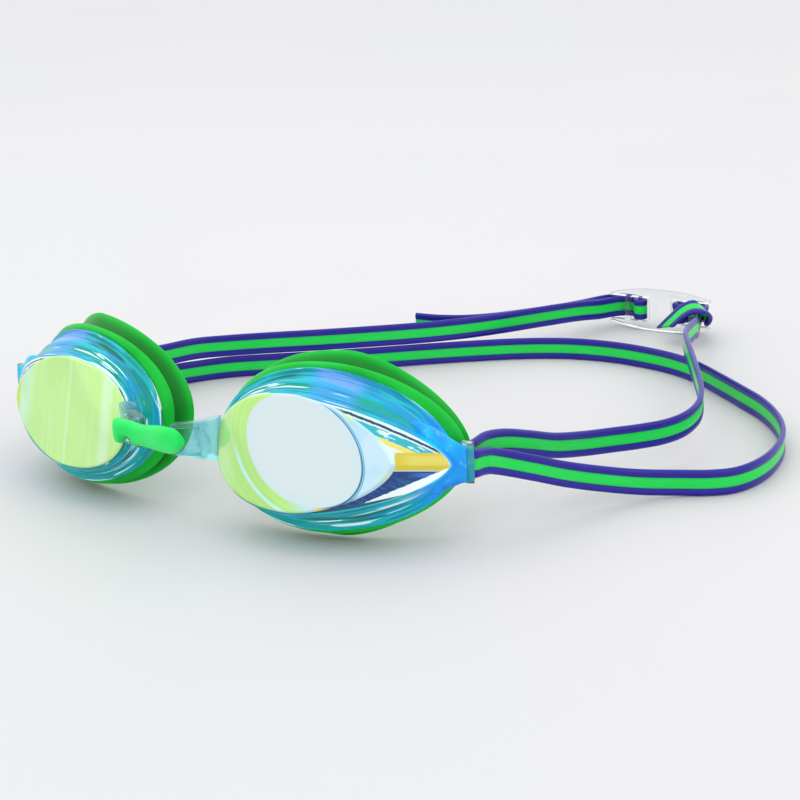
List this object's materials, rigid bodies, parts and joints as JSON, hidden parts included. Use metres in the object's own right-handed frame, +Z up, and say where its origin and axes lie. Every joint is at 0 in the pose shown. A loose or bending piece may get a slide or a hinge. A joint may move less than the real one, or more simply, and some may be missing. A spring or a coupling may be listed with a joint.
{
  "type": "swim goggles",
  "caption": "Swim goggles with clear wrapped lens cups, soft two-lipped gaskets, a bar nose bridge, a looped head strap and a laddered back clip.",
  "frame": {"origin": "on the surface the goggles stand on, under the middle of the front assembly of cups, gaskets and nose bridge", "axes": "+X to the right of someone facing the lenses, -Y the way the lenses face, +Y towards the back of the head strap, +Z up"},
  "size_m": [0.188, 0.2114, 0.0424],
  "materials": {
    "lens": "mirrored iridescent coating, gloss",
    "gasket": "satin silicone",
    "bridge": "satin",
    "strap": "gloss rails with a green core",
    "clip": "clear gloss"
  },
  "bodies": {
    "strap_and_bridge": {"nose_bridge": "bridge", "lower_strap": "strap", "left_upper_strap": "strap", "right_upper_strap": "strap"},
    "left_cup": {"left_lens_cup": "lens", "left_gasket": "gasket", "left_strap_loop": "strap"},
    "right_cup": {"right_lens_cup": "lens", "right_gasket": "gasket", "right_strap_loop": "strap"},
    "clip": {"back_clip": "clip", "left_strap_end": "strap", "right_strap_end": "strap"}
  },
  "joints": [
    {"name": "left_cup_flex", "type": "hinge", "parent": "strap_and_bridge", "child": "left_cup", "pos_m": [-0.004, -0.0189, 0.0242], "axis": [0, 0, -1], "range_deg": [-20, 12], "stiffness_Nm_per_rad": 0.02, "deforming": ["nose_bridge", "lower_strap", "left_upper_strap"]},
    {"name": "right_cup_flex", "type": "hinge", "parent": "strap_and_bridge", "child": "right_cup", "pos_m": [0.004, -0.0189, 0.0242], "axis": [0, 0, 1], "range_deg": [-20, 12], "stiffness_Nm_per_rad": 0.02, "deforming": ["nose_bridge", "lower_strap", "right_upper_strap"]},
    {"name": "clip_slide", "type": "slide", "parent": "strap_and_bridge", "child": "clip", "axis": [1, 0, 0], "range_m": [-0.008, 0.008], "deforming": ["left_upper_strap", "right_upper_strap"]}
  ]
}
